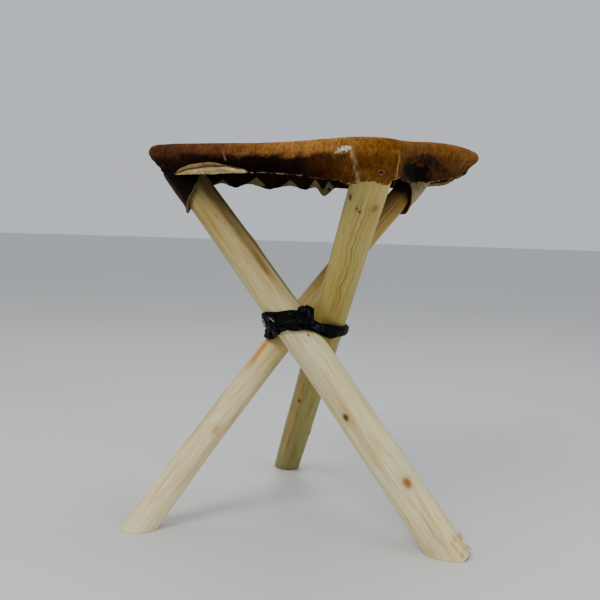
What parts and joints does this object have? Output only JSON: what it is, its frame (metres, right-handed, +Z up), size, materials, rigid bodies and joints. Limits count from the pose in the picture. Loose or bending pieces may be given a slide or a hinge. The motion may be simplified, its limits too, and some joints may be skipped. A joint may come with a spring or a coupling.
{
  "type": "three-legged folding stool",
  "caption": "Rustic folding stool: round peeled poles crossed inside a hide lashing, their tops in hide pockets under a stretched hair-on hide seat with a hanging scalloped edge.",
  "frame": {"origin": "on the floor, at the centre of the bounding box", "axes": "+Z up; the soles stand on z = 0; +Y from the leg between the viewer and the seat's front corner towards the rear foot; +X to the right"},
  "size_m": [0.4386, 0.4517, 0.4677],
  "materials": {
    "peeled_pole": "bare peeled pole, smooth, with long cracks and small knots",
    "pocket_hide": "dark dried hide, hard and slightly wrinkled",
    "flesh_side_hide": "pale flesh side of rawhide, matt",
    "lace_hide": "dark rawhide lace",
    "hair_on_hide": "short brown hair, darker towards the skirt",
    "black_hide_strip": "black hide, wrinkled, slight gloss"
  },
  "bodies": {
    "lashing_and_seat": {"lashing_strip": "black_hide_strip", "seat_hide": "hair_on_hide"},
    "front_right_leg": {"leg_front_right": "peeled_pole", "pocket_left": "pocket_hide", "lace_knot_left": "lace_hide"},
    "front_left_leg": {"leg_front_left": "peeled_pole", "pocket_right": "flesh_side_hide", "lace_knot_right": "lace_hide"},
    "rear_leg": {"leg_rear": "peeled_pole", "pocket_front": "pocket_hide", "lace_knot_front": "lace_hide"}
  },
  "joints": [
    {"name": "fold_front_right", "type": "hinge", "parent": "lashing_and_seat", "child": "front_right_leg", "pos_m": [-0.0213, -0.0392, 0.236], "axis": [0.497, 0.8678, 0], "range_deg": [0, 36], "deforming": ["seat_hide"]},
    {"name": "fold_front_left", "type": "hinge", "parent": "lashing_and_seat", "child": "front_left_leg", "pos_m": [-0.0232, 0.0054, 0.236], "axis": [0.4955, -0.8686, 0], "range_deg": [0, 36], "deforming": ["seat_hide"]},
    {"name": "fold_rear", "type": "hinge", "parent": "lashing_and_seat", "child": "rear_leg", "pos_m": [0.0189, -0.0118, 0.236], "axis": [-0.974, -0.2266, 0], "range_deg": [0, 36], "deforming": ["seat_hide"]}
  ],
  "couplings": [
    {"joint": "fold_front_left", "follows": "fold_front_right", "ratio": 1},
    {"joint": "fold_rear", "follows": "fold_front_right", "ratio": 1}
  ]
}
